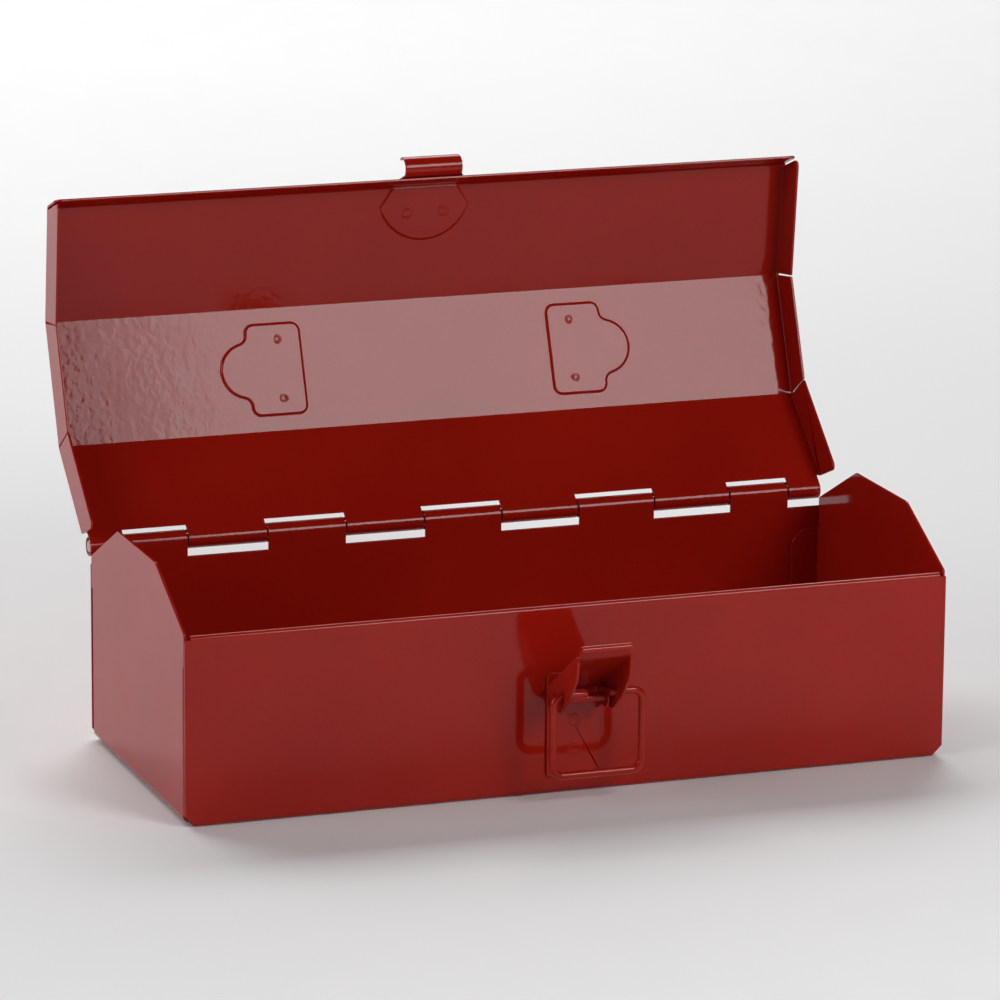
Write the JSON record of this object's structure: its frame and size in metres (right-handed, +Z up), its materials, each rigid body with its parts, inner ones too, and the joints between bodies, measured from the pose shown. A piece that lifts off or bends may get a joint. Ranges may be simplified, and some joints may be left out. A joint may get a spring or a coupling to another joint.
{
  "type": "camber-top steel toolbox",
  "caption": "Small folded-steel toolbox with a camber-top lid on a full-width knuckle hinge, a drop handle and a wire-loop draw latch.",
  "frame": {"origin": "centre of the underside of the body, on the surface it stands on", "axes": "+X along the length, towards the right-hand end; -Y towards the latch at the front; +Z up"},
  "size_m": [0.2872, 0.1998, 0.199],
  "materials": {
    "body_enamel": "glossy red stoving enamel with a slight orange peel",
    "lid_enamel": "glossy red stoving enamel with a strong orange peel inside",
    "hardware_enamel": "glossy red enamel over bent steel and wire",
    "pin_steel": "drawn steel wire with overspray"
  },
  "bodies": {
    "body": {"body_shell": "body_enamel", "end_panel_right": "body_enamel", "end_panel_left": "body_enamel", "hinge_pin": "pin_steel", "latch_base": "hardware_enamel", "latch_pin": "hardware_enamel"},
    "lid": {"lid_shell": "lid_enamel", "catch_plate": "lid_enamel", "handle_bracket_left": "hardware_enamel", "handle_bracket_right": "hardware_enamel"},
    "handle": {"handle": "hardware_enamel"},
    "latch_lever": {"latch_lever": "hardware_enamel"},
    "latch_bail": {"latch_bail": "hardware_enamel"}
  },
  "joints": [
    {"name": "lid_hinge", "type": "hinge", "parent": "body", "child": "lid", "pos_m": [0, 0.06085, 0.0709], "axis": [1, 0, 0], "range_deg": [0, 111.2]},
    {"name": "handle_swing", "type": "hinge", "parent": "lid", "child": "handle", "pos_m": [0, 0.10375, 0.12039], "axis": [1, 0, 0], "range_deg": [-21.2, 158.8]},
    {"name": "latch_lever_pivot", "type": "hinge", "parent": "body", "child": "latch_lever", "pos_m": [0, -0.06775, 0.03656], "axis": [1, 0, 0], "range_deg": [0, 140]},
    {"name": "latch_bail_swing", "type": "hinge", "parent": "latch_lever", "child": "latch_bail", "pos_m": [0.003, -0.07495, 0.04026], "axis": [1, 0, 0], "range_deg": [-314.3, 0]}
  ],
  "couplings": [
    {"joint": "latch_bail_swing", "follows": "latch_lever_pivot", "ratio": -2.245}
  ]
}
